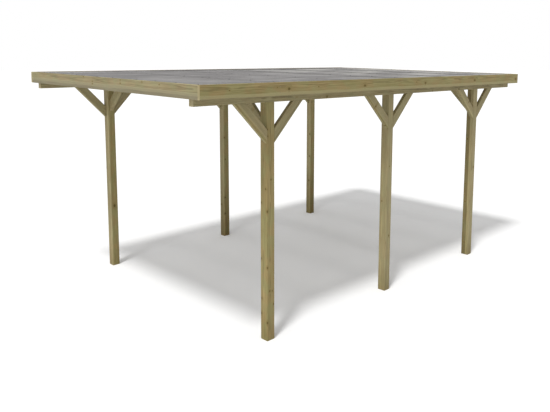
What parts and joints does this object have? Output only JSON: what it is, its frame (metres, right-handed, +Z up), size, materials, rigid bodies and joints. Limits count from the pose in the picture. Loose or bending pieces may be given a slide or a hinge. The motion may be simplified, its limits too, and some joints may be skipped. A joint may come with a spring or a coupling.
{
  "type": "flat-roofed timber carport",
  "caption": "Open single carport: square timber posts with knee braces carry beams, rafters and a flat corrugated roof behind fascia boards.",
  "frame": {"origin": "on the ground, under the middle of the roof", "axes": "+Z up, +Y from the entry edge to the back edge along the fall of the roof, +X to the right-hand row of posts"},
  "size_m": [3.13, 5.2612, 2.405],
  "materials": {
    "post_timber": "pressure-treated pine, planed",
    "beam_timber": "pressure-treated pine, planed",
    "brace_timber": "pressure-treated pine, planed",
    "rafter_timber": "pressure-treated pine, planed",
    "fascia_timber": "pressure-treated pine, planed",
    "roof_sheet": "smoke grey translucent corrugated plastic",
    "screw_steel": "yellow-zinc wood screws"
  },
  "bodies": {
    "root": {"front_right_post": "post_timber", "middle_right_post": "post_timber", "back_right_post": "post_timber", "front_left_post": "post_timber", "middle_left_post": "post_timber", "back_left_post": "post_timber", "right_beam": "beam_timber", "left_beam": "beam_timber", "front_right_brace_to_front": "brace_timber", "front_right_brace_to_back": "brace_timber", "middle_right_brace_to_front": "brace_timber", "middle_right_brace_to_back": "brace_timber", "back_right_brace_to_front": "brace_timber", "back_right_brace_to_back": "brace_timber", "front_left_brace_to_front": "brace_timber", "front_left_brace_to_back": "brace_timber", "middle_left_brace_to_front": "brace_timber", "middle_left_brace_to_back": "brace_timber", "back_left_brace_to_front": "brace_timber", "back_left_brace_to_back": "brace_timber", "front_right_brace_inward": "brace_timber", "back_right_brace_inward": "brace_timber", "front_left_brace_inward": "brace_timber", "back_left_brace_inward": "brace_timber", "rafter_1": "rafter_timber", "rafter_2": "rafter_timber", "rafter_3": "rafter_timber", "rafter_4": "rafter_timber", "rafter_5": "rafter_timber", "rafter_6": "rafter_timber", "rafter_7": "rafter_timber", "right_fascia": "fascia_timber", "left_fascia": "fascia_timber", "front_fascia": "fascia_timber", "back_fascia": "fascia_timber", "front_sheet_1": "roof_sheet", "front_sheet_2": "roof_sheet", "front_sheet_3": "roof_sheet", "back_sheet_1": "roof_sheet", "back_sheet_2": "roof_sheet", "back_sheet_3": "roof_sheet"}
  },
  "joints": []
}
